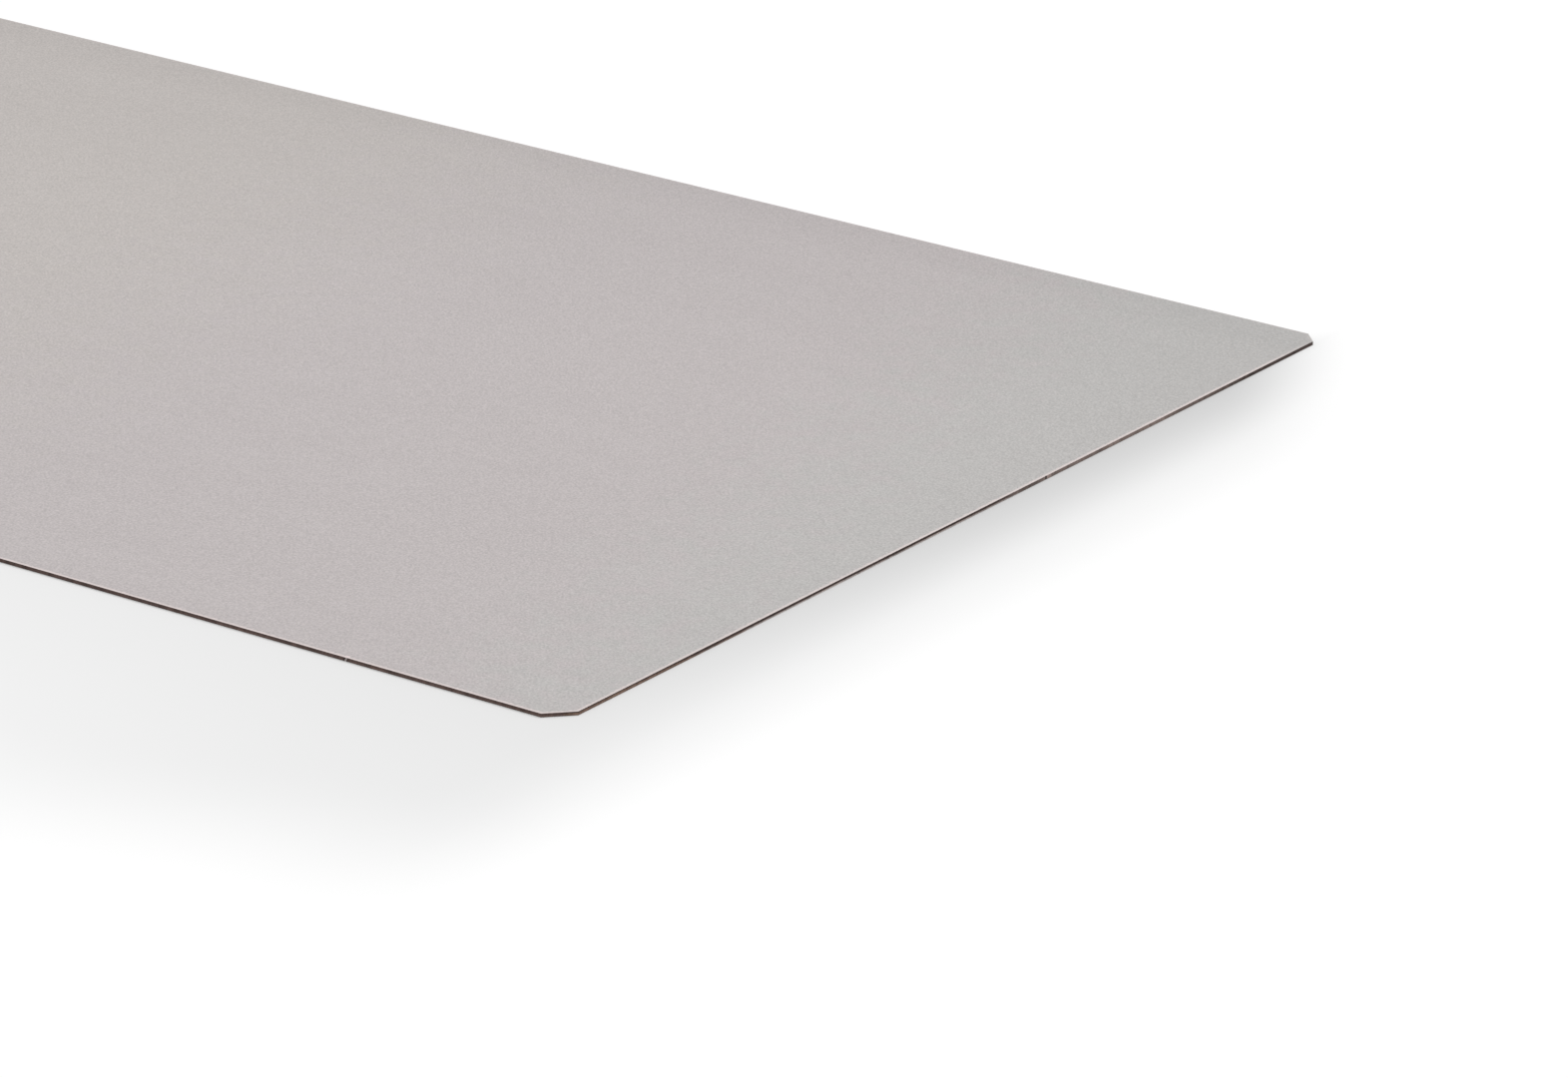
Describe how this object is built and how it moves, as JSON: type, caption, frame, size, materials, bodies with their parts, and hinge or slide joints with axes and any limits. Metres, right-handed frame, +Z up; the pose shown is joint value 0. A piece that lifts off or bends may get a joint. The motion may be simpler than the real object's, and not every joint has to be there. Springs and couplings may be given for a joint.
{
  "type": "laminate panel",
  "caption": "Large thin compact laminate sheet with matt light grey faces, a dark brown core edge and clipped corners, for lining, cladding and cutting to size.",
  "frame": {"origin": "middle of the underside, on the floor that the sheet lies on", "axes": "+X along the sheet's length, +Y along its width, +Z up out of the decor face"},
  "size_m": [3.05, 1.3, 0.004],
  "materials": {
    "decor_laminate": "matte"
  },
  "bodies": {
    "root": {"laminate_panel": "decor_laminate"}
  },
  "joints": []
}
